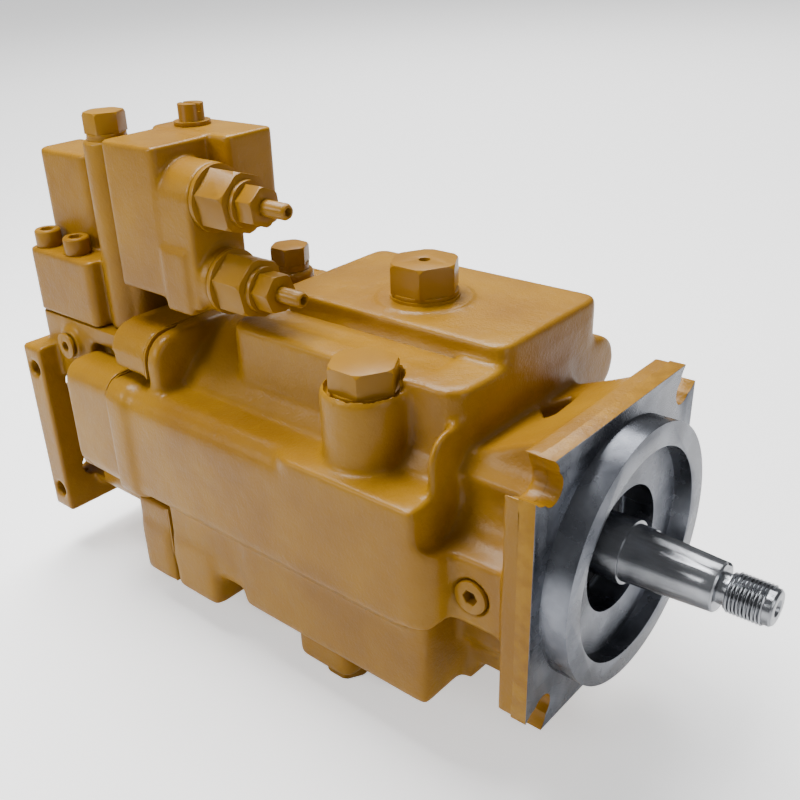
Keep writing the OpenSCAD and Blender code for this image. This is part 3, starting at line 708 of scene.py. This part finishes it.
def buildThread():
    # one vee section wound round the shaft end
    clearSelection()
    bpy.ops.mesh.primitive_circle_add(vertices=4, radius=shaft["ridge"] * mm, location=(0, 0, 0))
    ridge = bpy.context.object
    ridge.name = "shaft_thread"
    bpy.ops.object.mode_set(mode="EDIT")
    bpy.ops.mesh.select_all(action="SELECT")
    bpy.ops.transform.rotate(value=math.pi / 2, orient_axis="X", center_override=(0, 0, 0))
    lift = (shaft["root"] + shaft["ridgeLift"]) * mm
    bpy.ops.transform.translate(value=(shaft["threadStart"] * mm, 0, lift))
    bpy.ops.object.mode_set(mode="OBJECT")
    turns = (shaft["threadEnd"] - shaft["threadStart"] - 1.0) / shaft["pitch"]
    whole = int(turns)
    applyModifier(ridge, "wind", "SCREW", axis="X", angle=2 * math.pi, screw_offset=shaft["pitch"] * mm,
                  iterations=whole, steps=shaft["steps"], render_steps=shaft["steps"],
                  use_merge_vertices=False, use_normal_calculate=True)
    bpy.ops.object.mode_set(mode="EDIT")
    bpy.ops.mesh.select_all(action="SELECT")
    bpy.ops.mesh.fill_holes(sides=8)
    bpy.ops.mesh.normals_make_consistent(inside=False)
    bpy.ops.object.mode_set(mode="OBJECT")
    smoothShade(ridge, 30)
    dress(ridge, groundSteel)
    settle(ridge, "drive_shaft")
    print("thread wound", whole)


studio = {
    "world": (0.97, 0.98, 1.0, 1),
    "worldStrength": 0.3,
    "floor": (0.92, 0.92, 0.92, 1),
    "floorGlow": 0.7,      # added where the floor is seen directly
    "backdropGlow": 1.3,   # the air where it is seen directly
    "middle": (-0.15, 0, 0.02),
    "floorWash": (-1.1, 1.5),
}


def addLight(name, place, target, size, power):
    data = bpy.data.lights.new(name, "AREA")
    data.shape = "RECTANGLE"
    data.size = size[0]
    data.size_y = size[1]
    data.energy = power
    light = bpy.data.objects.new(name, data)
    bpy.context.scene.collection.objects.link(light)
    light.location = place
    light.rotation_euler = (Vector(target) - Vector(place)).to_track_quat("-Z", "Y").to_euler()


def buildStudio():
    world = bpy.data.worlds.new("studioAir")
    world.use_nodes = True
    world.node_tree.nodes["Background"].inputs["Color"].default_value = studio["world"]
    seen = addNode(world.node_tree, "ShaderNodeLightPath")
    air = addNode(world.node_tree, "ShaderNodeMapRange",
                  {"To Min": studio["worldStrength"], "To Max": studio["backdropGlow"]})
    world.node_tree.links.new(seen.outputs["Is Camera Ray"], air.inputs["Value"])
    world.node_tree.links.new(air.outputs["Result"], world.node_tree.nodes["Background"].inputs["Strength"])
    bpy.context.scene.world = world
    clearSelection()
    bpy.ops.mesh.primitive_plane_add(size=60, location=(0, 0, cadLow.z - 0.0005))
    floor = bpy.context.object
    floor.name = "floor"
    material, tree, shader = newMaterial("paleFloor")
    grain = addNode(tree, "ShaderNodeTexNoise", {"Scale": 3.0})
    shade = addNode(tree, "ShaderNodeMix", data_type="RGBA")
    shade.inputs["A"].default_value = studio["floor"]
    shade.inputs["B"].default_value = (0.9, 0.9, 0.9, 1)
    tree.links.new(grain.outputs["Fac"], shade.inputs["Factor"])
    tree.links.new(shade.outputs["Result"], shader.inputs["Base Color"])
    shader.inputs["Roughness"].default_value = 0.8
    shader.inputs["Emission Color"].default_value = (1, 1, 1, 1)
    looked = addNode(tree, "ShaderNodeLightPath")
    glow = addNode(tree, "ShaderNodeMath", {1: studio["floorGlow"]}, operation="MULTIPLY")
    tree.links.new(looked.outputs["Is Camera Ray"], glow.inputs[0])
    tree.links.new(glow.outputs[0], shader.inputs["Emission Strength"])
    dress(floor, material)
    middle = studio["middle"]
    addLight("overhead", (-0.45, -0.05, 1.0), middle, (0.6, 0.4), 20)
    addLight("servoSide", (-0.7, -1.0, 0.6), middle, (0.4, 0.3), 7)
    addLight("frontFill", (1.1, -0.1, 0.4), middle, (0.25, 0.7), 3.5)
    addLight("floorWash", (*studio["floorWash"], 2.4), (*studio["floorWash"], 0), (1.6, 1.6), 110)
    print("studio lit")


addCamera()
buildHousing()
buildRearCover()
buildServoCover()
buildValve()
for fitting in fittings["painted"]:
    softenFitting(fitting)
print("fittings softened")
buildShaft()
buildThread()
buildStudio()
